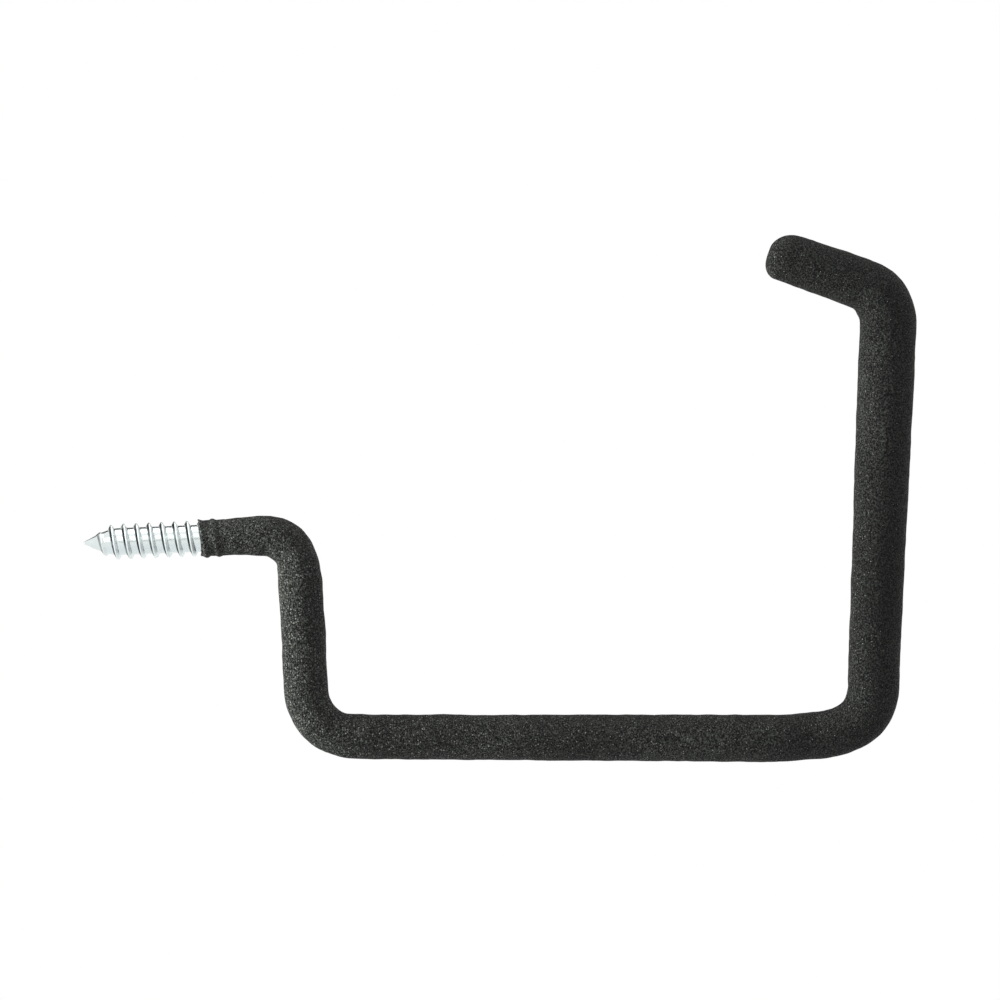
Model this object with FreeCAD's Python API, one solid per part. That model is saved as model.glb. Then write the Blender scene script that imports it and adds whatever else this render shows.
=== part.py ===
import FreeCAD, Part
import math
import os

from FreeCAD import Placement, Rotation, Vector

# A utility hook that screws into a wall stud: a steel rod, rolled into a wood-screw thread at one
# end and bent four times, and the thick soft coat that it was dipped in.
# Sizes are in millimetres and degrees. X points out of the wall along the screw, Z points up, and
# the origin is on the screw's axis at the edge of the coat, where the wall's face comes to stand.

# Steel rod and its wood screw
ROD_DIA = 7.0
THREAD_MAJOR_DIA = 7.94
THREAD_ROOT_DIA = 6.0
THREAD_PITCH = 25.4 / 9
THREAD_CREST_FLAT = 0.3
THREAD_FLANK_ANGLE = 30.0
THREAD_START = 2.38
THREAD_UNDER_COAT = 4.4
SCREW_LENGTH = 26.1
POINT_LENGTH = 8.0
POINT_DIA = 0.24

# How the thread rises out of the point and sinks back into the rod, in turns and parts of its depth
LEAD_IN_TURNS = 2
RUN_OUT_TURNS = 1
FAINTEST_THREAD = 0.06
CURVE_STEPS = 4
POINT_STEPS = 2
TANGENT_STEP = 1e-4

# Bent centre line: each run is measured from corner to corner, as if its corners were sharp
RUN_LENGTHS = {"neck": 21.2, "drop": 45.0, "arm": 124.7, "post": 98.8, "lip": 28.8}
BEND_TURNS = (-88.7, 86.2, 87.8, 72.8)
BEND_RADII = (7.5, 10.8, 12.7, 9.2)
HIDDEN_BEND_STEPS = 4

# Dipped coat: it ran down the rod while it set, so it is thin at the screw and thick on the post
COAT_SKIN_ON_THREAD = 0.2
COAT_THREAD_GAP = 0.01
COAT_NECK_DIA = 8.05
COAT_NECK_BEHIND_THREAD = 4.0
COAT_BEND_DIAS = (9.4, 9.9, 11.2, 12.0)
COAT_LIP_DIA = 10.85
COAT_LIP_END = 2.0
COAT_LIP_ROUND = 2.6

# Worked out from the sizes above
THREAD_DEPTH = (THREAD_MAJOR_DIA - THREAD_ROOT_DIA) / 2
THREAD_TURNS = math.ceil((SCREW_LENGTH + THREAD_UNDER_COAT - THREAD_START) / THREAD_PITCH)
THREAD_FULL_LENGTH = THREAD_START + THREAD_PITCH * (THREAD_TURNS - RUN_OUT_TURNS) + THREAD_CREST_FLAT / 2
THREAD_FADES_AT = THREAD_FULL_LENGTH - SCREW_LENGTH
COAT_EDGE_DIA = THREAD_MAJOR_DIA + 2 * COAT_SKIN_ON_THREAD
COAT_BORE_DIA = THREAD_MAJOR_DIA + 2 * COAT_THREAD_GAP
COAT_NECK_AT = THREAD_FADES_AT + COAT_NECK_BEHIND_THREAD
ACROSS = Vector(0, 1, 0)
OUT_OF_WALL = Vector(1, 0, 0)


# Shared helpers


def solid_from(faces):
    """Sews faces that share their edges into one solid."""
    shell = Part.makeShell(faces)
    shell.sewShape()
    solid = Part.makeSolid(shell)
    if solid.Volume < 0:
        solid.reverse()
    return solid


def ring(point, direction, radius):
    """A circle square to a direction, as two halves that meet on the hook's two sides."""
    circle = Part.Circle(Vector(), Vector(0, 0, 1), radius)
    halves = [circle.toShape(0, math.pi), circle.toShape(math.pi, 2 * math.pi)]
    for half in halves:
        half.Placement = Placement(point, Rotation(ACROSS, direction.cross(ACROSS), direction, "ZXY"))
    return halves


def disc(point, direction, radius):
    return Part.Face(Part.Wire(ring(point, direction, radius)))


def strips(edges_a, edges_b):
    """The ruled face between each edge of one list and its fellow in the other. They may meet at an end."""
    return [Part.makeRuledSurface(a, b).Surface.toShape() for a, b in zip(edges_a, edges_b)]


def ruled_through(rings):
    """The faces between each ring and the next."""
    faces = []
    for near, far in zip(rings, rings[1:]):
        faces += strips(near, far)
    return faces


# Wood screw: its skin is ruled between helical edges, half a turn at a time


def core_radius(along):
    """The core swells from the blunt point to the root diameter, and then stays level."""
    part = min(1.0, max(0.0, along / POINT_LENGTH))
    return POINT_DIA / 2 + (THREAD_ROOT_DIA - POINT_DIA) / 2 * (3 * part - part**3) / 2


def on_screw(radius, turn, along):
    """A place on the screw, with its distance measured from the screw's point."""
    angle = 2 * math.pi * turn
    return Vector(along - SCREW_LENGTH, radius * math.cos(angle), radius * math.sin(angle))


def thread_height(turn):
    """The ridge's height, which grows and fades over whole turns."""
    grown = min(1.0, turn / LEAD_IN_TURNS, (THREAD_TURNS - turn) / RUN_OUT_TURNS)
    return THREAD_DEPTH * (FAINTEST_THREAD + (1 - FAINTEST_THREAD) * grown)


def foot_along(turn, side):
    """How far along the screw a foot of the ridge is: side -1 faces the point, and side 1 the coat."""
    spread = thread_height(turn) * math.tan(math.radians(THREAD_FLANK_ANGLE))
    return THREAD_START + THREAD_PITCH * turn + side * (THREAD_CREST_FLAT / 2 + spread)


def foot(turn, side):
    along = foot_along(turn, side)
    return on_screw(core_radius(along), turn, along)


def crest(turn, side):
    along = THREAD_START + THREAD_PITCH * turn + side * THREAD_CREST_FLAT / 2
    return on_screw(core_radius(along) + thread_height(turn), turn, along)


def half_turn(point_at, first):
    """A smooth edge along a formula, from one turn to half a turn further."""
    turns = [first + step / (2 * CURVE_STEPS) for step in range(CURVE_STEPS + 1)]
    last = turns[-1]
    curve = Part.BSplineCurve()
    curve.interpolate(
        Points=[point_at(turn) for turn in turns],
        Parameters=turns,
        InitialTangent=(point_at(first + TANGENT_STEP) - point_at(first)) / TANGENT_STEP,
        FinalTangent=(point_at(last) - point_at(last - TANGENT_STEP)) / TANGENT_STEP,
        Scale=False,
    )
    return curve.toShape()


def whole_turn(point_at, first):
    return [half_turn(point_at, first), half_turn(point_at, first + 0.5)]


def core_winding(along_first, along_last, first_turn):
    """One turn round the core, from one distance along it to another."""
    def point_at(turn):
        along = along_first + (along_last - along_first) * (turn - first_turn)
        return on_screw(core_radius(along), turn, along)
    return whole_turn(point_at, first_turn)


def core_ring(along):
    return ring(on_screw(0, 0, along), OUT_OF_WALL, core_radius(along))


def thread_faces():
    """Both flanks, the crest and the core left bare between two ridges, turn by turn."""
    faces = []
    for turn in range(THREAD_TURNS):
        near_foot = whole_turn(lambda t: foot(t, -1), turn)
        near_crest = whole_turn(lambda t: crest(t, -1), turn)
        far_crest = whole_turn(lambda t: crest(t, 1), turn)
        far_foot = whole_turn(lambda t: foot(t, 1), turn)
        faces += strips(near_foot, near_crest) + strips(near_crest, far_crest) + strips(far_crest, far_foot)
        if turn + 1 < THREAD_TURNS:
            next_foot = whole_turn(lambda t: foot(t + 1, -1), turn)
            faces += strips(far_foot, next_foot)
    for turn in (0, THREAD_TURNS):
        corners = [foot(turn, -1), crest(turn, -1), crest(turn, 1), foot(turn, 1)]
        faces.append(Part.Face(Part.makePolygon(corners + corners[:1])))
    return faces


def screw_point_faces():
    """The bare point, and the wedge of core between it and the first turn."""
    ring_along = foot_along(0, -1)
    first_turn = whole_turn(lambda t: foot(t, -1), 0)
    winding = core_winding(ring_along, foot_along(0, 1), 0)
    wedge = strips(first_turn, winding) + strips(winding, core_ring(ring_along))
    swelling = ruled_through([core_ring(ring_along * step / POINT_STEPS) for step in range(POINT_STEPS + 1)])
    return wedge + swelling + [Part.Face(Part.Wire(core_ring(0)))]


def run_out_faces():
    """The wedge of core behind the last turn, and the shoulder up to the rod's full diameter."""
    last = THREAD_TURNS
    ring_along = foot_along(last, 1)
    last_turn = whole_turn(lambda t: foot(t, 1), last - 1)
    winding = core_winding(foot_along(last, -1), ring_along, last - 1)
    core_end = core_ring(ring_along)
    rod_start = ring(RUNS["neck"].at(shoulder_end()), OUT_OF_WALL, ROD_DIA / 2)
    return strips(last_turn, winding) + strips(winding, core_end) + strips(core_end, rod_start)


def shoulder_end():
    """Where the rod reaches its full diameter behind the thread, measured along the neck."""
    return foot_along(THREAD_TURNS, 1) + (ROD_DIA - THREAD_ROOT_DIA) / 2 - SCREW_LENGTH


# Bent centre line, shared by the rod and its coat


class Run:
    """A straight stretch of the centre line."""

    def __init__(self, start, heading, length):
        self.start = start
        self.direction = Vector(math.cos(math.radians(heading)), 0, math.sin(math.radians(heading)))
        self.length = length
        self.end = self.at(length)

    def at(self, along):
        return self.start + self.direction * along

    def tube(self, stations):
        """The faces round the run, through pairs of distance along it and diameter."""
        return ruled_through([ring(self.at(along), self.direction, dia / 2) for along, dia in stations])


class Bend:
    """An arc of the centre line that follows on from a run."""

    def __init__(self, before, turn, radius):
        side = math.copysign(1, turn)
        inwards = Vector(-before.direction.z, 0, before.direction.x) * side
        self.before = before
        self.centre = before.end + inwards * radius
        self.axis = ACROSS * -side
        self.angle = abs(turn)
        self.end = self.ring_at(1, radius)[0].Placement.Base

    def ring_at(self, part, radius):
        """A circle round the centre line, part of the way round the bend."""
        turned = Rotation(self.axis, self.angle * part)
        point = self.centre + turned.multVec(self.before.end - self.centre)
        return ring(point, turned.multVec(self.before.direction), radius)

    def smooth_tube(self, dia):
        return [half.revolve(self.centre, self.axis, self.angle) for half in self.ring_at(0, dia / 2)]

    def stepped_tube(self, dia):
        """A bend that is out of sight in the coat, turned in a few short steps."""
        steps = range(HIDDEN_BEND_STEPS + 1)
        return ruled_through([self.ring_at(step / HIDDEN_BEND_STEPS, dia / 2) for step in steps])


def centre_line():
    """The runs, cut back to where their bends begin, and the bends between them."""
    cuts = [0.0]
    for turn, radius in zip(BEND_TURNS, BEND_RADII):
        cuts.append(radius * math.tan(math.radians(abs(turn) / 2)))
    cuts.append(0.0)
    runs = {}
    bends = []
    start = Vector()
    heading = 0.0
    for index, (name, length) in enumerate(RUN_LENGTHS.items()):
        runs[name] = Run(start, heading, length - cuts[index] - cuts[index + 1])
        if index < len(BEND_TURNS):
            bends.append(Bend(runs[name], BEND_TURNS[index], BEND_RADII[index]))
            start = bends[-1].end
            heading += BEND_TURNS[index]
    return runs, bends


RUNS, BENDS = centre_line()


# Steel rod


def rod_skin():
    """The plain rod under the coat, from behind the thread to its end inside the lip."""
    lip = RUNS["lip"]
    rod_end = lip.length - COAT_LIP_END
    spans = {name: (0, run.length) for name, run in RUNS.items()}
    spans["neck"] = (shoulder_end(), RUNS["neck"].length)
    spans["lip"] = (0, rod_end)
    faces = [disc(lip.at(rod_end), lip.direction, ROD_DIA / 2)]
    for name, span in spans.items():
        faces += RUNS[name].tube([(along, ROD_DIA) for along in span])
    for bend in BENDS:
        faces += bend.stepped_tube(ROD_DIA)
    return faces


def build_screw_rod():
    return solid_from(screw_point_faces() + thread_faces() + run_out_faces() + rod_skin())


# Dipped coat


def lip_end_faces():
    """The rounded corner and flat end that close the lip."""
    lip = RUNS["lip"]
    along = lip.direction * COAT_LIP_ROUND
    faces = [disc(lip.end, lip.direction, COAT_LIP_DIA / 2 - COAT_LIP_ROUND)]
    for side in (ACROSS, -ACROSS):
        round_start = lip.end - along + side * (COAT_LIP_DIA / 2)
        centre = round_start - side * COAT_LIP_ROUND
        round_middle = centre + (along + side * COAT_LIP_ROUND) * math.sqrt(0.5)
        rounding = Part.Arc(round_start, round_middle, centre + along).toShape()
        faces.append(rounding.revolve(lip.start, lip.direction, 180))
    return faces


def coat_outside():
    """The coat tapers along each run, from one bend's diameter to the next one's."""
    neck_dia, heel_dia, toe_dia, lip_dia = COAT_BEND_DIAS
    neck = RUNS["neck"]
    lip_taper_end = RUNS["lip"].length - COAT_LIP_ROUND
    faces = neck.tube((
        (0, COAT_EDGE_DIA),
        (THREAD_FADES_AT, COAT_EDGE_DIA),
        (COAT_NECK_AT, COAT_NECK_DIA),
        (neck.length, neck_dia),
    ))
    faces += RUNS["drop"].tube(((0, neck_dia), (RUNS["drop"].length, heel_dia)))
    faces += RUNS["arm"].tube(((0, heel_dia), (RUNS["arm"].length, toe_dia)))
    faces += RUNS["post"].tube(((0, toe_dia), (RUNS["post"].length, lip_dia)))
    faces += RUNS["lip"].tube(((0, lip_dia), (lip_taper_end, COAT_LIP_DIA)))
    for bend, dia in zip(BENDS, COAT_BEND_DIAS):
        faces += bend.smooth_tube(dia)
    return faces + lip_end_faces()


def build_dipped_coat():
    """The coat bridges the thread's crests at its edge and clings to the plain rod from there on."""
    edge_rings = [ring(Vector(), OUT_OF_WALL, dia / 2) for dia in (COAT_EDGE_DIA, COAT_BORE_DIA)]
    edge_face = Part.Face([Part.Wire(edge) for edge in edge_rings])
    mouth = RUNS["neck"].tube((
        (0, COAT_BORE_DIA),
        (THREAD_FADES_AT, COAT_BORE_DIA),
        (shoulder_end(), ROD_DIA),
    ))
    return solid_from(coat_outside() + [edge_face] + mouth + rod_skin())


os.makedirs("parts", exist_ok=True)
build_screw_rod().exportStep("parts/screw_rod.step")
build_dipped_coat().exportStep("parts/dipped_coat.step")
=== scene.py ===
# %% [markdown]
# A garage hook, dressed for its picture
# The hook is a zinc-plated steel rod with a wood-screw thread at one end, bent four times and then
# dipped in a thick soft coat. The construction model is already packed, so the lesson starts by
# loading it as a fixed frame. Every piece that is made here ends up in that frame and in metres.

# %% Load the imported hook
import math

import bmesh
import bpy
from mathutils import Matrix, Vector, noise


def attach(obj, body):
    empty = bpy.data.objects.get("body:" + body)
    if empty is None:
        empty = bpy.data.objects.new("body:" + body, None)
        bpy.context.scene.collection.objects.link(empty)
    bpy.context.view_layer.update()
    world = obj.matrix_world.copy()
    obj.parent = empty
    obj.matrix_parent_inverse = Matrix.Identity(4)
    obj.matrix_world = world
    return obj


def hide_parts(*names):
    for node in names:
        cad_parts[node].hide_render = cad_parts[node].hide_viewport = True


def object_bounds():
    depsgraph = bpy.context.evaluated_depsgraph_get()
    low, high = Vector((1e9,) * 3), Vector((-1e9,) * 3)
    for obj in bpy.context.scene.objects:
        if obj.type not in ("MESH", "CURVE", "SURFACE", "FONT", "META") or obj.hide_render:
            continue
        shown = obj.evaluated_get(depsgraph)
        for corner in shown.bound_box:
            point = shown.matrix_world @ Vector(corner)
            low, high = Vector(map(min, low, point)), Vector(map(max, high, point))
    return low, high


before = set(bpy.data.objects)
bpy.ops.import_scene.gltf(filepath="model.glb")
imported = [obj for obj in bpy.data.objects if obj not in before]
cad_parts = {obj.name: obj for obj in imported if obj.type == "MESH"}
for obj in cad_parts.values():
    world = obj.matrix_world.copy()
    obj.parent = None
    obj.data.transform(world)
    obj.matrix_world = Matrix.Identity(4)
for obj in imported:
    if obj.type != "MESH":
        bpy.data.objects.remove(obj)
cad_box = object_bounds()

print("nodes:", sorted(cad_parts), "box:", [list(corner) for corner in cad_box])

# %% [markdown]
# The bent centre line
# Rod and coat follow one line: five straight runs with four bends between them. We could draw a curve
# and give it a bevel, but the coat changes its thickness all the way along. So we cut the line into
# small moves instead. Each move is a matrix that carries a ring of vertices one step further. We work
# in millimetres, which are easy to read, and shrink each finished mesh to metres.

# %% Walk along the centre line
MM = 0.001
RUN_LENGTHS = (21.2, 45.0, 124.7, 98.8, 28.8)
BEND_TURNS = (-88.7, 86.2, 87.8, 72.8)
BEND_RADII = (7.5, 10.8, 12.7, 9.2)
NECK_STEP = 0.4


def bend_cuts():
    """How much of a run each bend takes away at its corner."""
    cuts = [0.0]
    for turn, radius in zip(BEND_TURNS, BEND_RADII):
        cuts.append(radius * math.tan(math.radians(abs(turn) / 2)))
    return cuts + [0.0]


def walk(step, bend_step):
    """Rows of a move, the place it leads to and the distance gone, the stretches' ends, the last heading."""
    rows = [(Matrix.Identity(4), Vector(), 0.0)]
    ends = []
    heading = 0.0
    cuts = bend_cuts()

    def go(move, count, length):
        for _ in range(count):
            _, place, gone = rows[-1]
            rows.append((move, move @ place, gone + length / count))
        ends.append(rows[-1][2])

    for index, corner_to_corner in enumerate(RUN_LENGTHS):
        length = corner_to_corner - cuts[index] - cuts[index + 1]
        count = math.ceil(length / (step if index else min(step, NECK_STEP)))
        forward = Vector((math.cos(heading), 0, math.sin(heading)))
        go(Matrix.Translation(forward * length / count), count, length)
        if index == len(BEND_TURNS):
            break
        turn = math.radians(BEND_TURNS[index])
        length = abs(turn) * BEND_RADII[index]
        count = math.ceil(length / bend_step)
        inwards = Vector((-forward.z, 0, forward.x)) * math.copysign(BEND_RADII[index], turn)
        hub = rows[-1][1] + inwards
        turning = Matrix.Rotation(-turn / count, 4, "Y")
        go(Matrix.Translation(hub) @ turning @ Matrix.Translation(-hub), count, length)
        heading += turn
    return rows, ends, forward


coat_walk, stretch_ends, lip_forward = walk(step=0.9, bend_step=0.6)
neck_end, drop_top, drop_end, arm_start, arm_end, post_foot, post_top, lip_start, lip_tip = stretch_ends
print("moves along the coat:", len(coat_walk), "length in mm:", round(lip_tip, 1))

# %% [markdown]
# Rings that grow into tubes
# A tube is a circle that is pulled out again and again. Extrude makes the new ring and the faces
# between the two, a transform carries the ring on, and a scale about its middle sets its thickness.
# That keeps every face a neat quad, and it lets each ring have its own diameter.

# %% Helpers that grow a tube and finish a mesh
FACING_X = Matrix.Rotation(math.radians(90), 4, "Y")


def first_ring(bm, place, radius, sides):
    """The edges of a circle across the X axis."""
    made = bmesh.ops.create_circle(bm, segments=sides, radius=radius)["verts"]
    bmesh.ops.transform(bm, matrix=Matrix.Translation(place) @ FACING_X, verts=made)
    return list(dict.fromkeys(edge for vert in made for edge in vert.link_edges))


def next_ring(bm, edges, move):
    """Pulls a new ring out of the last one, and carries it on."""
    pulled = bmesh.ops.extrude_edge_only(bm, edges=edges)["geom"]
    verts = [item for item in pulled if isinstance(item, bmesh.types.BMVert)]
    bmesh.ops.transform(bm, matrix=move, verts=verts)
    fresh = set(verts)
    loose = [item for item in pulled if isinstance(item, bmesh.types.BMEdge)]
    return verts, [edge for edge in loose if fresh.issuperset(edge.verts)]


def resized(place, factor):
    """A scale about a place."""
    return Matrix.Translation(place) @ Matrix.Scale(factor, 4) @ Matrix.Translation(-place)


def placed(bm, name):
    """An object in the scene, made of a bmesh that is then let go."""
    mesh = bpy.data.meshes.new(name)
    bm.to_mesh(mesh)
    bm.free()
    piece = bpy.data.objects.new(name, mesh)
    bpy.context.scene.collection.objects.link(piece)
    return piece


def finished(bm, name, sharp_angle):
    """Turns a closed bmesh in millimetres into a piece in metres that rides on the hook."""
    bmesh.ops.recalc_face_normals(bm, faces=bm.faces)
    bmesh.ops.scale(bm, vec=(MM, MM, MM), verts=bm.verts)
    open_edges = sum(edge.is_boundary for edge in bm.edges)
    piece = placed(bm, name)
    piece.data.shade_smooth()
    piece.data.set_sharp_from_angle(angle=math.radians(sharp_angle))
    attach(piece, "root")
    print(name, "faces:", len(piece.data.polygons), "open edges:", open_edges)
    return piece


# %% [markdown]
# The wood screw
# The thread on the real screw is rolled: the steel is squeezed up into a thin sharp ridge that winds
# round a thinner core. We draw the outline of one ridge with a few vertices, round its corners with
# a bevel, and spin it. A spin that also steps along the axis is a screw, and as the outline is one
# pitch long, each turn closes on the next. One vertex just past the ridge's foot keeps the soft shading
# of the rounded foot from spreading over the core. The front end is shrunk to a point afterwards.

# %% Spin the thread
INCH = 25.4
THREADS_PER_INCH = 9
PITCH = INCH / THREADS_PER_INCH
ROOT_RADIUS = 3.0
CREST_RADIUS = 3.97
CREST_FLAT = 0.3
FLANK_ANGLE = 30
FLANK_SPREAD = (CREST_RADIUS - ROOT_RADIUS) * math.tan(math.radians(FLANK_ANGLE))
FOOT_BLEND = 0.25
CORNER_ROUND = 0.1
SCREW_LENGTH = 26.1
THREAD_START = 2.66
TURNS_BEFORE_START = 2
SPUN_TURNS = 13
STEPS_PER_TURN = 72
SAME_PLACE = 0.001

screw = bmesh.new()
first_crest = THREAD_START - SCREW_LENGTH - TURNS_BEFORE_START * PITCH
foot = CREST_FLAT / 2 + FLANK_SPREAD
outline = (
    (-foot, ROOT_RADIUS),
    (-CREST_FLAT / 2, CREST_RADIUS),
    (CREST_FLAT / 2, CREST_RADIUS),
    (foot, ROOT_RADIUS),
    (foot + FOOT_BLEND, ROOT_RADIUS),
    (PITCH - foot, ROOT_RADIUS),
)
corners = [screw.verts.new((first_crest + along, radius, 0)) for along, radius in outline]
for near, far in zip(corners, corners[1:]):
    screw.edges.new((near, far))
crest_and_foot = corners[1:4]
bmesh.ops.bevel(
    screw,
    geom=crest_and_foot,
    affect="VERTICES",
    offset=CORNER_ROUND,
    segments=2,
    profile=0.5,
    material=-1,
)
bmesh.ops.spin(
    screw,
    geom=screw.verts[:] + screw.edges[:],
    axis=(1, 0, 0),
    dvec=(PITCH / STEPS_PER_TURN, 0, 0),
    angle=2 * math.pi * SPUN_TURNS,
    steps=STEPS_PER_TURN * SPUN_TURNS,
)
bmesh.ops.remove_doubles(screw, verts=screw.verts, dist=SAME_PLACE)
print("thread faces:", len(screw.faces))

# %% [markdown]
# The point
# The core swells from a blunt tip to its full thickness, and the ridge rises out of it in about a turn.
# Both are changes of radius alone, so we move each vertex straight in towards the axis. Then a plane
# cuts the tip square, another cuts the back where the coat hides it, and the two holes are filled.

# %% Shape the point and close the ends
POINT_LENGTH = 8.0
TIP_RADIUS = 0.12
LEAD_IN_TURNS = 1.2
FAINTEST_RIDGE = 0.06
SCREW_BACK = 5.2


def share_of(value, low, high):
    """How far a value is from low to high, kept between 0 and 1."""
    return min(1.0, max(0.0, (value - low) / (high - low)))


for vert in screw.verts:
    along = vert.co.x + SCREW_LENGTH
    part = share_of(along, 0, POINT_LENGTH)
    core = TIP_RADIUS + (ROOT_RADIUS - TIP_RADIUS) * (3 * part - part**3) / 2
    grown = share_of(along, THREAD_START, THREAD_START + LEAD_IN_TURNS * PITCH)
    ridge = FAINTEST_RIDGE + (1 - FAINTEST_RIDGE) * grown
    radius = math.hypot(vert.co.y, vert.co.z)
    factor = (core + (radius - ROOT_RADIUS) * ridge) / radius
    vert.co.y *= factor
    vert.co.z *= factor

for plane_x, outwards in ((-SCREW_LENGTH, -1), (SCREW_BACK, 1)):
    bmesh.ops.bisect_plane(
        screw,
        geom=screw.verts[:] + screw.edges[:] + screw.faces[:],
        plane_co=(plane_x, 0, 0),
        plane_no=(outwards, 0, 0),
        clear_outer=True,
    )
bmesh.ops.holes_fill(screw, edges=[edge for edge in screw.edges if edge.is_boundary], sides=0)
print("screw from", -SCREW_LENGTH, "to", SCREW_BACK, "faces:", len(screw.faces))

# %% [markdown]
# The plain rod
# Behind the thread the rod is plain, and the coat hides all of it. It is still made, so that the hook
# is a whole thing when somebody cuts it open. The steps can be long here, because nobody sees them.

# %% Grow the rod out of the screw
ROD_RADIUS = 3.5
ROD_SIDES = 48
LIP_COVER = 2.0

rod_walk, _, _ = walk(step=4.0, bend_step=2.0)
rod_from = SCREW_BACK - NECK_STEP
rod_to = lip_tip - LIP_COVER
rod_walk = [row for row in rod_walk if rod_from <= row[2] <= rod_to]
rod_edges = first_ring(screw, rod_walk[0][1], ROD_RADIUS, ROD_SIDES)
bmesh.ops.edgeloop_fill(screw, edges=rod_edges)
for move, _, _ in rod_walk[1:]:
    _, rod_edges = next_ring(screw, rod_edges, move)
bmesh.ops.edgeloop_fill(screw, edges=rod_edges)
print("rod from", round(rod_walk[0][2], 2), "to", round(rod_walk[-1][2], 2))
steel = finished(screw, "zinc_screw_rod", sharp_angle=38)
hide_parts("screw_rod")

# %% [markdown]
# The dipped coat
# The coat ran down the rod while it set, so it is thin at the screw, thick on the post and thickest
# where the lip bends. It would be simplest as one even tube, but then it looks like a pipe. A list of
# diameters along the walk, each with its distance from the coat's edge, gives the tapers and swellings.

# %% Diameters of the coat
THIN_NECK_END = 5.8

second_arc = arm_start - drop_end
coat_stations = (
    (0.0, 8.0),
    (THIN_NECK_END, 8.05),
    (8.7, 8.42),
    (neck_end, 8.9),
    (neck_end + 5.2, 9.3),
    (drop_top - 2.2, 9.08),
    (drop_top, 9.42),
    (drop_top + 4.2, 9.85),
    (drop_top + 11.0, 9.75),
    (drop_top + 14.2, 10.0),
    (drop_top + 18.5, 9.8),
    (drop_end, 9.87),
    (drop_end + 0.45 * second_arc, 9.85),
    (drop_end + 0.75 * second_arc, 9.55),
    (arm_start, 9.97),
    (arm_end, 10.5),
    (post_foot, 11.49),
    (post_top, 12.6),
    ((post_top + lip_start) / 2, 12.45),
    (lip_start, 11.4),
    (lip_tip, 10.85),
)


def read_off(stations, gone):
    """The value at a distance along the walk, easing from one station to the next."""
    for (near, low), (far, high) in zip(stations, stations[1:]):
        if gone <= far:
            break
    share = share_of(gone, near, far)
    return low + (high - low) * share**2 * (3 - 2 * share)


def coat_radius(gone):
    """The coat's radius, from the diameters before and after."""
    return read_off(coat_stations, gone) / 2


print("coat radius at the neck and the lip:", coat_radius(THIN_NECK_END), round(coat_radius(lip_start), 2))

# %% [markdown]
# The edge of the coat
# At its edge the coat lies over the last turns of thread, which show through as lumps, a little fuller
# below. The edge itself is ragged and leans back from top to bottom, with a drip at either end. Two
# small functions of the angle round the neck say how far a vertex moves out, and how far along.

# %% Lumps and edge of the coat
LUMP_HEIGHT = 0.34
FULLER_BELOW = 0.3
LUMPS_END = 5.4
LUMPS_FADE = 2.0
EDGE_REACH = 1.8
EDGE_SET_BACK = 0.1
EDGE_LEAN = 0.45
UPPER_DRIP = 0.3
UPPER_DRIP_SHARPNESS = 24
LOWER_DRIP = 0.8
LOWER_DRIP_SHARPNESS = 16
RAGGED = 0.22
RAGGED_PACE = 3
RAGGED_SLICE = 0.7


def thread_lump(gone, angle):
    """How far a ridge of the thread lifts the coat above it."""
    phase = (gone + SCREW_LENGTH - THREAD_START) / PITCH - angle / (2 * math.pi)
    crest = max(0.0, math.cos(2 * math.pi * phase))
    height = LUMP_HEIGHT * (1 + FULLER_BELOW * max(0.0, -math.sin(angle)))
    return height * crest * (1 - share_of(gone, LUMPS_END - LUMPS_FADE, LUMPS_END))


def edge_shift(gone, angle):
    """How far the edge lies along the screw, which fades out over its reach."""
    up = math.sin(angle)
    lean = EDGE_SET_BACK - EDGE_LEAN * up
    lean -= UPPER_DRIP * max(0.0, up) ** UPPER_DRIP_SHARPNESS
    lean -= LOWER_DRIP * max(0.0, -up) ** LOWER_DRIP_SHARPNESS
    lean += RAGGED * noise.noise(Vector((RAGGED_PACE * math.cos(angle), RAGGED_PACE * up, RAGGED_SLICE)))
    return lean * (1 - share_of(gone, 0, EDGE_REACH)) ** 2


edge_ends = [round(edge_shift(0, angle), 2) for angle in (math.pi / 2, -math.pi / 2)]
print("edge at the top and the bottom:", edge_ends)

# %% [markdown]
# Growing the coat
# The sleeve starts with a ring down on the screw's core. Three quick rings round the rim over, and then
# the walk carries it along to the lip. The first steps start from the rim, which lies between two places
# of the walk, so their move is worked out from where the ring is.

# %% Grow the sleeve
COAT_SIDES = 88
CORE_OVERLAP = 0.05
RIM = ((0.0, 0.26), (0.05, 0.1), (0.16, 0.02))
FIRST_STEPS = 2 * NECK_STEP
LIP_SHORT = 0.4
UPPER_ROUND = 5.6

coat = bmesh.new()
start_radius = ROOT_RADIUS - CORE_OVERLAP
start_edges = first_ring(coat, Vector(), start_radius, COAT_SIDES)
skin = []
edges = start_edges
radius = start_radius
place = Vector()
for rim_end, shrink in RIM:
    step_on = Vector((rim_end, 0, 0)) - place
    place = place + step_on
    target = coat_radius(rim_end) - shrink
    verts, edges = next_ring(coat, edges, resized(place, target / radius) @ Matrix.Translation(step_on))
    radius = target
    skin.append((verts, place.copy(), rim_end))

lip_end = lip_tip - LIP_SHORT
for move, target_place, gone in coat_walk:
    if not rim_end < gone < lip_end - UPPER_ROUND:
        continue
    if gone < FIRST_STEPS:
        move = Matrix.Translation(target_place - place)
    target = coat_radius(gone)
    verts, edges = next_ring(coat, edges, resized(target_place, target / radius) @ move)
    radius = target
    place = target_place
    skin.append((verts, place.copy(), gone))
print("rings of the coat:", len(skin))

# %% [markdown]
# The rounded lip
# The end of the lip is nearly flat, with a large soft corner above and a tighter one below, as the
# last drop of coat left it. We shrink the ring in small steps in the plane of the end, and then let
# each vertex fall back as far as the rounding at its height asks.

# %% Close the lip
END_STEPS = 22
LOWER_ROUND = 3.3


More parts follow.
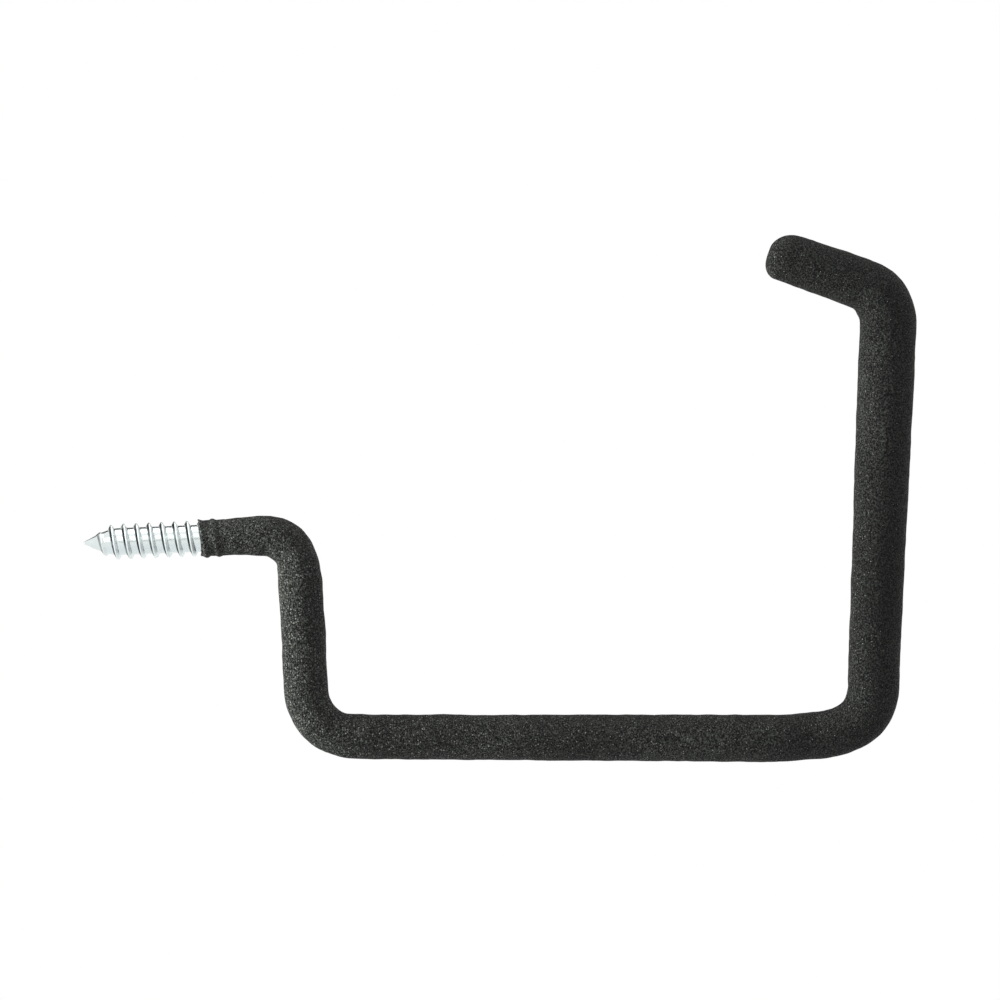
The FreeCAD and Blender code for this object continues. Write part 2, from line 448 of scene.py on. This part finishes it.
def fall_back(out, height, radius):
    """How far the rounded end lies behind its flat middle."""
    rounding = LOWER_ROUND + (UPPER_ROUND - LOWER_ROUND) * (height / radius + 1) / 2
    width = min(rounding, radius)
    into_corner = share_of(out, radius - width, radius)
    return rounding * (1 - math.sqrt(1 - into_corner**2))


lip_up = Vector((lip_forward.z, 0, -lip_forward.x))
end_place = place + lip_forward * (lip_end - skin[-1][2])
end_radius = coat_radius(lip_end)
to_end = Matrix.Translation(end_place - place)
for step in range(END_STEPS):
    target = end_radius * math.cos(math.pi / 2 * step / END_STEPS)
    verts, edges = next_ring(coat, edges, resized(end_place, target / radius) @ to_end)
    to_end = Matrix.Identity(4)
    radius = target
    skin.append((verts, end_place.copy(), lip_end))
for verts, _, _ in skin[-END_STEPS:]:
    for vert in verts:
        offset = vert.co - end_place
        vert.co -= lip_forward * fall_back(offset.length, offset.dot(lip_up), end_radius)
bmesh.ops.pointmerge(coat, verts=skin.pop()[0], merge_co=end_place)
print("lip end at", [round(value, 1) for value in end_place])

# %% [markdown]
# The bore
# A coat without an inside would be a solid bar with the rod lost in it. So the first ring of the sleeve
# also grows the other way, along the rod and a hair wider than it, and closes to a point at the rod's
# end. The coat then has a real wall and is closed all over.

# %% Grow the bore
BORE_CLEARANCE = 0.03

bore_edges = start_edges
radius = start_radius
bore_radius = ROD_RADIUS + BORE_CLEARANCE
for index, (move, target_place, _) in enumerate(rod_walk):
    if index == 0:
        move = Matrix.Translation(target_place)
    widened = resized(target_place, bore_radius / radius) @ move
    bore_verts, bore_edges = next_ring(coat, bore_edges, widened)
    radius = bore_radius
bmesh.ops.pointmerge(coat, verts=bore_verts, merge_co=rod_walk[-1][1])
print("bore radius:", bore_radius)

# %% [markdown]
# The uneven skin
# Now the outside gets its small faults: lumps over the thread, the slanting edge, a coat that settled
# to one side here and there, most of all in the third bend, and the slow waviness of a skin that was
# dipped and not moulded. Noise that depends only on the place gives the same waves on every run.

# %% Roughen the skin
WAVES = ((0.16, 0.13), (0.45, 0.09), (1.0, 0.03))
NECK_SAG = ((3.0, 0.0), (6.0, 0.12), (9.5, 0.1), (12.5, 0.0))
DROP_SAG = ((-1.0, 0.0), (4.2, 0.2), (14.2, 0.22), (20.0, 0.05), (25.0, 0.0))
SECOND_BEND_SAG = ((0.55, 0.0), (0.9, 0.16), (1.4, 0.0))
THIRD_BEND_SAG = ((-0.45, 0.0), (0.13, 0.76), (0.65, -0.34), (1.2, 0.0))

third_arc = post_foot - arm_end
settled = list(NECK_SAG)
settled += [(drop_top + along, aside) for along, aside in DROP_SAG]
settled += [(drop_end + share * second_arc, aside) for share, aside in SECOND_BEND_SAG]
settled += [(arm_end + share * third_arc, aside) for share, aside in THIRD_BEND_SAG]

for verts, _, gone in skin:
    if gone > LUMPS_END:
        break
    for vert in verts:
        angle = math.atan2(vert.co.z, vert.co.y)
        outwards = Vector((0, vert.co.y, vert.co.z)).normalized()
        vert.co += outwards * thread_lump(gone, angle)
        vert.co.x += edge_shift(gone, angle)
for (_, before, _), (verts, _, gone), (_, after, _) in zip(skin, skin[1:], skin[2:]):
    aside = read_off(settled, gone)
    if aside:
        forward = (after - before).normalized()
        sag = Vector((-forward.z, 0, forward.x)) * aside
        bmesh.ops.translate(coat, vec=sag, verts=verts)
for verts, place, _ in skin:
    for vert in verts:
        wave = sum(height * noise.noise(vert.co * pace) for pace, height in WAVES)
        vert.co += (vert.co - place).normalized() * wave
soft_coat = finished(coat, "dipped_coat_skin", sharp_angle=60)
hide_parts("dipped_coat")

# %% [markdown]
# Short words for nodes
# A finish is a small net of shader nodes. Made one by one, each node takes several lines, so a few
# helpers do it here: one makes a node of any kind and wires its inputs, one does a sum, one carries
# a value from one range to another, and one is a noise.

# %% Helpers that wire nodes
def linked(tree, kind, inputs=(), settings=()):
    """A node with its settings, its fixed inputs and its links."""
    node = tree.nodes.new(kind)
    for name, value in settings:
        setattr(node, name, value)
    for name, value in inputs:
        if isinstance(value, bpy.types.NodeSocket):
            tree.links.new(value, node.inputs[name])
        else:
            node.inputs[name].default_value = value
    return node


def worked_out(tree, operation, *values):
    """The result of one step of arithmetic."""
    return linked(tree, "ShaderNodeMath", enumerate(values), (("operation", operation),)).outputs[0]


def spread(tree, value, low=0.0, high=1.0, to_low=0.0, to_high=1.0, curve="LINEAR"):
    """A value carried from one range to another, and kept inside it."""
    ranges = (("From Min", low), ("From Max", high), ("To Min", to_low), ("To Max", to_high))
    settings = (("interpolation_type", curve),)
    return linked(tree, "ShaderNodeMapRange", (("Value", value), *ranges), settings).outputs["Result"]


def cloudy(tree, where, scale, detail):
    """A soft noise between 0 and 1."""
    inputs = (("Vector", where), ("Scale", scale), ("Detail", detail))
    return linked(tree, "ShaderNodeTexNoise", inputs).outputs["Fac"]


def object_place(tree):
    """The place on a piece, in metres."""
    return linked(tree, "ShaderNodeTexCoord").outputs["Object"]


# %% [markdown]
# One grain for both finishes
# The coat has a grain like sand, and the zinc has one that is almost too small to see. A node group
# holds it once: a fine noise for the height of the surface, sparse specks where the grain catches the
# light, and slow patches that make one stretch a little paler than the next. It reads Object
# coordinates, so the grain keeps its true size.

# %% Build the grain group
USUAL_SCALES = (("Grain Scale", 2200.0), ("Speck Scale", 1500.0), ("Patch Scale", 60.0))
GRAIN_RANGE = (0.4, 0.6)
SPECK_RANGE = (0.55, 0.15)

grain = bpy.data.node_groups.new("surface_grain", "ShaderNodeTree")
for name, value in USUAL_SCALES:
    socket = grain.interface.new_socket(name, in_out="INPUT", socket_type="NodeSocketFloat")
    socket.default_value = value
for name in ("Grain", "Specks", "Patches"):
    grain.interface.new_socket(name, in_out="OUTPUT", socket_type="NodeSocketFloat")
asked = grain.nodes.new("NodeGroupInput").outputs
where = object_place(grain)
height = spread(grain, cloudy(grain, where, asked["Grain Scale"], detail=3.0), *GRAIN_RANGE)
cells = linked(grain, "ShaderNodeTexVoronoi", (("Vector", where), ("Scale", asked["Speck Scale"])))
chance = linked(grain, "ShaderNodeSeparateColor", (("Color", cells.outputs["Color"]),))
near_middle = spread(grain, cells.outputs["Distance"], *SPECK_RANGE)
lit = worked_out(grain, "MULTIPLY", near_middle, chance.outputs["Red"])
slow = cloudy(grain, where, asked["Patch Scale"], detail=2.0)
given = grain.nodes.new("NodeGroupOutput").inputs
for name, value in (("Grain", height), ("Specks", lit), ("Patches", slow)):
    grain.links.new(value, given[name])
print("grain group nodes:", len(grain.nodes))

# %% [markdown]
# Starting a finish
# Both finishes take the same few steps: an empty material, the shared grain at the finish's own sizes,
# colours mixed by a mask, greys that change along a range, and a bump. With helpers for these, each
# finish below only says what is special about it.

# %% Helpers that start a finish
MIX_FACTOR, MIX_A, MIX_B, MIX_RESULT = 0, 6, 7, 2
GREENISH = (1.0, 1.07, 0.96)
ANY_PLACE = 0.5


def new_finish(name):
    """An empty material with a Principled shader in it."""
    finish = bpy.data.materials.new(name)
    finish.use_nodes = True
    return finish, finish.node_tree, finish.node_tree.nodes["Principled BSDF"]


def place_grain(tree, grain_scale, speck_scale, patch_scale):
    """The shared grain at this finish's own sizes."""
    scales = (("Grain Scale", grain_scale), ("Speck Scale", speck_scale), ("Patch Scale", patch_scale))
    return linked(tree, "ShaderNodeGroup", scales, (("node_tree", grain),)).outputs


def mixed(tree, factor, first, second):
    """A colour between two colours."""
    inputs = ((MIX_FACTOR, factor), (MIX_A, first), (MIX_B, second))
    return linked(tree, "ShaderNodeMix", inputs, (("data_type", "RGBA"),)).outputs[MIX_RESULT]


def ramp(tree, value, low, high, stops):
    """A colour ramp over a range of a value, from pairs of a place in the range and a grey."""
    node = linked(tree, "ShaderNodeValToRGB", (("Fac", spread(tree, value, low, high)),))
    row = node.color_ramp.elements
    while len(row) < len(stops):
        row.new(ANY_PLACE)
    for element, (place, grey) in zip(row, stops):
        element.position = (place - low) / (high - low)
        element.color = (*(tint * grey for tint in GREENISH), 1)
    return node.outputs["Color"]


def bumped(tree, shader, strength, distance, height):
    """Gives a shader the relief of a grain."""
    inputs = (("Strength", strength), ("Distance", distance), ("Height", height))
    relief = linked(tree, "ShaderNodeBump", inputs)
    tree.links.new(relief.outputs["Normal"], shader.inputs["Normal"])


# %% [markdown]
# The soft coat's finish
# The coat is matte charcoal with a grain like fine sandpaper, and tiny pale specks where the grain
# shines. There are more specks near the screw, where the coat is thin, and fewer out on the post. The
# specks are a colour mask, the grain is a bump, and the sheen stays very low.

# %% Mix the charcoal coat
HOOK_REACH = 0.16
SPECK_LEVELS = (0.08, 0.74)
SCREW_TO_POST_GREYS = ((0.0, 0.145), (0.03, 0.094), (0.11, 0.093), (0.15, 0.056))
PATCH_CHARCOAL = (0.017, 0.018, 0.016, 1)
PIT_BLACK = (0.003, 0.003, 0.003, 1)
SPECK_GREY = (0.28, 0.29, 0.27, 1)
COAT_ROUGHNESS = (0.95, 0.7)
COAT_SHEEN = 0.25

coat_finish, tree, shader = new_finish("charcoal_dip")
coat_grain = place_grain(tree, grain_scale=3000.0, speck_scale=2000.0, patch_scale=55.0)
sides = linked(tree, "ShaderNodeSeparateXYZ", (("Vector", object_place(tree)),)).outputs
from_screw = spread(tree, sides["X"], 0.0, HOOK_REACH, *SPECK_LEVELS)
speck_mask = spread(tree, coat_grain["Specks"], from_screw, 1.0)
# The ground grey is paler near the screw and darker towards the post.
ground = ramp(tree, sides["X"], 0.0, HOOK_REACH, SCREW_TO_POST_GREYS)
patched = mixed(tree, coat_grain["Patches"], PATCH_CHARCOAL, ground)
grained = mixed(tree, coat_grain["Grain"], PIT_BLACK, patched)
speckled = mixed(tree, speck_mask, grained, SPECK_GREY)
tree.links.new(speckled, shader.inputs["Base Color"])
dull = spread(tree, coat_grain["Grain"], 0.0, 1.0, *COAT_ROUGHNESS)
tree.links.new(dull, shader.inputs["Roughness"])
shader.inputs["Specular IOR Level"].default_value = COAT_SHEEN
bumped(tree, shader, strength=1.0, distance=0.00026, height=coat_grain["Grain"])
soft_coat.data.materials.append(coat_finish)
print("coat nodes:", len(tree.nodes))

# %% [markdown]
# Ridge and painted shade
# On the zinc we first find out where we are. The distance from the screw's axis tells root from ridge.
# A dark band of painted shade lies on the flank that faces the point, and it follows
# the thread: the distance along the screw, less the angle round it, is the same all the way along
# a ridge. Slow patches make the painted shade fainter here and there, and the tip has none.

# %% Find the ridge and the painted shade
RIDGE_RISE = 0.3
HALF_A_PITCH = 0.5
PAINTED_SHADE_STOPS = ((0.0, 0.0), (0.27, 0.0), (0.3, 1.0), (0.43, 1.0), (0.47, 0.0))
PAINTED_SHADE_PATCHES = (0.36, 0.52)
PAINTED_SHADE_STRENGTH = (0.6, 1.0)
SHADE_FREE_TO = 1.6
FULL_SHADE_FROM = 4.6

zinc_finish, tree, shader = new_finish("bright_zinc")
zinc_grain = place_grain(tree, grain_scale=1400.0, speck_scale=900.0, patch_scale=260.0)
sides = linked(tree, "ShaderNodeSeparateXYZ", (("Vector", object_place(tree)),)).outputs
off_axis = linked(tree, "ShaderNodeCombineXYZ", (("Y", sides["Y"]), ("Z", sides["Z"]))).outputs["Vector"]
reach = linked(tree, "ShaderNodeVectorMath", (("Vector", off_axis),), (("operation", "LENGTH"),))
ridge = spread(tree, reach.outputs["Value"], ROOT_RADIUS * MM, (ROOT_RADIUS + RIDGE_RISE) * MM)
turned = worked_out(tree, "ARCTAN2", sides["Z"], sides["Y"])
turns = worked_out(tree, "MULTIPLY", turned, -1 / (2 * math.pi))
pitches = worked_out(tree, "MULTIPLY_ADD", sides["X"], 1 / (PITCH * MM), turns)
crest_to_middle = (SCREW_LENGTH - THREAD_START) / PITCH + HALF_A_PITCH
across_ridge = worked_out(tree, "FRACT", worked_out(tree, "ADD", pitches, crest_to_middle))
# Painted shade: a dark band on the flank of each ridge that faces the point.
painted_shade = ramp(tree, across_ridge, 0.0, 1.0, PAINTED_SHADE_STOPS)
patchy_shade = spread(tree, zinc_grain["Patches"], *PAINTED_SHADE_PATCHES, *PAINTED_SHADE_STRENGTH)
# The painted shade fades out towards the tip.
behind_tip = spread(tree, sides["X"], (SHADE_FREE_TO - SCREW_LENGTH) * MM, (FULL_SHADE_FROM - SCREW_LENGTH) * MM)
painted_shade_mask = worked_out(tree, "MULTIPLY", worked_out(tree, "MULTIPLY", painted_shade, patchy_shade), behind_tip)
print("nodes for the ridge and the dirt:", len(tree.nodes))

# %% [markdown]
# The zinc finish
# Zinc plating is bright and a little milky. It is palest and least shiny on the ridge of the thread, and
# smoother in patches on the core. The shared grain breaks up the shine.

# %% Plate the screw
MILKY_GREY = (0.71, 0.77, 0.77, 1)
MILKY_PALE = (0.82, 0.88, 0.88, 1)
RIDGE_PALE = (0.88, 0.94, 0.94, 1)
# The near-black of the painted shade on the flank that faces the point.
PAINTED_SHADE_BLACK = (0.02, 0.022, 0.022, 1)
CORE_ROUGHNESS = (0.15, 0.32)
RIDGE_ROUGHNESS = 0.5

milky = mixed(tree, zinc_grain["Patches"], MILKY_GREY, MILKY_PALE)
plated = mixed(tree, ridge, milky, RIDGE_PALE)
# Painted shade darkens the plating on the flank that faces the point.
shade_painted_plate = mixed(tree, painted_shade_mask, plated, PAINTED_SHADE_BLACK)
tree.links.new(shade_painted_plate, shader.inputs["Base Color"])
rubbed = spread(tree, zinc_grain["Patches"], 0.0, 1.0, *CORE_ROUGHNESS)
dull_ridge = spread(tree, ridge, 0.0, 1.0, rubbed, RIDGE_ROUGHNESS)
tree.links.new(dull_ridge, shader.inputs["Roughness"])
shader.inputs["Metallic"].default_value = 1.0
bumped(tree, shader, strength=0.25, distance=0.00003, height=zinc_grain["Grain"])
steel.data.materials.append(zinc_finish)
print("zinc nodes:", len(tree.nodes))

# %% [markdown]
# The studio
# The photograph has a pure white ground. Here the world is white where the camera or a reflection looks
# at it, and a plainer grey where it lights the hook, so the white doesn't wash the colours out.

# %% Light the world
WHITE = (1, 1, 1, 1)
WORLD_LIGHT = 0.22


def seen_straight(tree):
    """1 for a ray from the camera, a reflection or a view through glass, and 0 for a ray of light."""
    path = linked(tree, "ShaderNodeLightPath").outputs
    seen = path["Is Camera Ray"]
    for other in ("Is Glossy Ray", "Is Transmission Ray"):
        seen = worked_out(tree, "MAXIMUM", seen, path[other])
    return seen


world = bpy.data.worlds.new("white_studio")
bpy.context.scene.world = world
world.use_nodes = True
tree = world.node_tree
backdrop = tree.nodes["Background"]
backdrop.inputs["Color"].default_value = WHITE
plain_or_white = spread(tree, seen_straight(tree), to_low=WORLD_LIGHT)
tree.links.new(plain_or_white, backdrop.inputs["Strength"])
print("the world's strength as a light:", WORLD_LIGHT)

# %% [markdown]
# The floor
# The pale floor lies well below the hook. It keeps the soft shadow near its middle and fades to the same
# white as the world. The light that it throws back up is that of a greyer floor, so the hook's underside
# stays dark.

# %% Lay the floor
FLOOR_HEIGHT = -0.2
FLOOR_RADIUS = 0.42
FLOOR_SIDES = 96
FADE_START = 0.12
FADE_END = 0.4
FLOOR_THROWN = (0.45, 0.46, 0.46, 1)
FLOOR_SEEN = (0.82, 0.84, 0.84, 1)
FLOOR_ROUGHNESS = 0.9

hook_middle = (cad_box[0] + cad_box[1]) / 2
floor_middle = (hook_middle.x, 0, FLOOR_HEIGHT)
disc = bmesh.new()
bmesh.ops.create_circle(disc, cap_ends=True, segments=FLOOR_SIDES, radius=FLOOR_RADIUS)
bmesh.ops.translate(disc, vec=floor_middle, verts=disc.verts)
floor = placed(disc, "floor")

floor_finish, tree, shader = new_finish("pale_floor")
seen = seen_straight(tree)
tree.links.new(mixed(tree, seen, FLOOR_THROWN, FLOOR_SEEN), shader.inputs["Base Color"])
shader.inputs["Roughness"].default_value = FLOOR_ROUGHNESS
ends = ((0, object_place(tree)), (1, floor_middle))
centred = linked(tree, "ShaderNodeVectorMath", ends, (("operation", "DISTANCE"),)).outputs["Value"]
fade = spread(tree, centred, FADE_START, FADE_END, curve="SMOOTHSTEP")
shown = worked_out(tree, "MULTIPLY", fade, seen)
white = linked(tree, "ShaderNodeEmission", (("Strength", 1.0),)).outputs["Emission"]
faded = linked(tree, "ShaderNodeMixShader", ((0, shown), (1, shader.outputs["BSDF"]), (2, white)))
tree.links.new(faded.outputs["Shader"], tree.nodes["Material Output"].inputs["Surface"])
floor.data.materials.append(floor_finish)
print("floor at", FLOOR_HEIGHT, "radius", FLOOR_RADIUS)

# %% [markdown]
# Lamps
# A large soft key lamp stands in front, and a second lamp far to the left skims along the hook, as
# the photograph's paler left sides show. A top light and a weak rear light open the shadows. The metal
# doesn't mirror the side and rear lamps, which would be small hard glints on it.

# %% Hang the lamps
def soft_lamp(name, place, size, watts, mirrored=True):
    """A square lamp that looks at the hook, and that the metal mirrors or not."""
    lamp = bpy.data.lights.new(name, "AREA")
    lamp.size = size
    lamp.energy = watts
    lit = bpy.data.objects.new(name, lamp)
    lit.location = place
    lit.visible_glossy = mirrored
    lit.rotation_euler = (hook_middle - Vector(place)).to_track_quat("-Z", "Y").to_euler()
    bpy.context.scene.collection.objects.link(lit)


soft_lamp("key_lamp", (-0.45, -1.0, 0.5), size=0.6, watts=3.9)
soft_lamp("side_lamp", (-2.47, -0.48, 0.13), size=1.1, watts=176.0, mirrored=False)
soft_lamp("rear_lamp", (0.75, 0.85, 0.35), size=0.6, watts=8.0, mirrored=False)
soft_lamp("top_lamp", (0.05, 0.05, 1.1), size=0.8, watts=4.2)

# %% [markdown]
# Dark cards
# Bright metal only looks like metal when something dark is mirrored in it. So two dark cards stand where
# a photographer puts them: one behind the screw for its upper edge, and a narrow one past the camera for
# the line along its middle.

# %% Stand the cards
CARD_BLACK = (0.01, 0.01, 0.01, 1)
SCREW_MIDDLE = Vector((-0.013, 0, 0))

card_finish, _, shader = new_finish("black_card")
shader.inputs["Base Color"].default_value = CARD_BLACK
shader.inputs["Roughness"].default_value = 1.0


def dark_card(name, place, width, height):
    """A black card that faces the screw, and that only reflections see."""
    card = bmesh.new()
    turn = (SCREW_MIDDLE - Vector(place)).to_track_quat("Z", "Y").to_matrix().to_4x4()
    stretch = Matrix.Diagonal((width / 2, height / 2, 1, 1))
    stand = Matrix.Translation(place) @ turn @ stretch
    bmesh.ops.create_grid(card, x_segments=1, y_segments=1, size=1, matrix=stand)
    piece = placed(card, name)
    piece.data.materials.append(card_finish)
    piece.visible_camera = False
    piece.visible_diffuse = False
    piece.visible_shadow = False


dark_card("back_card", (-0.02, 0.4, 0.28), width=0.7, height=0.36)
dark_card("front_card", (-0.03, -1.4, -0.02), width=0.8, height=0.12)
print("cards face", list(SCREW_MIDDLE))

# %% [markdown]
# The camera
# The photograph was taken from far away with a long lens, square to the plane of the bends, and it is
# turned a little, so that the screw climbs to the right. The frame is 222 mm wide at the hook, so
# a 200 mm lens on a 36 mm sensor stands at 222 / 36 x 200 mm.

# %% Aim the camera
FRAME_WIDTH = 0.222
FRAME_MIDDLE_X = 0.06667
FRAME_MIDDLE_Z = 0.00582
LENS = 200.0
SENSOR = 36.0
ROLL = 2.31
NEAREST_SEEN = 0.05

camera_data = bpy.data.cameras.new("long_lens")
camera_data.lens = LENS
camera_data.sensor_width = SENSOR
camera_data.clip_start = NEAREST_SEEN
camera = bpy.data.objects.new("long_lens", camera_data)
distance = FRAME_WIDTH * LENS / SENSOR
camera.location = (FRAME_MIDDLE_X, -distance, FRAME_MIDDLE_Z)
camera.rotation_euler = (math.radians(90), math.radians(ROLL), 0)
bpy.context.scene.collection.objects.link(camera)
bpy.context.scene.camera = camera
bpy.context.scene.view_settings.view_transform = "Standard"
print("camera at", round(distance, 3), "m")
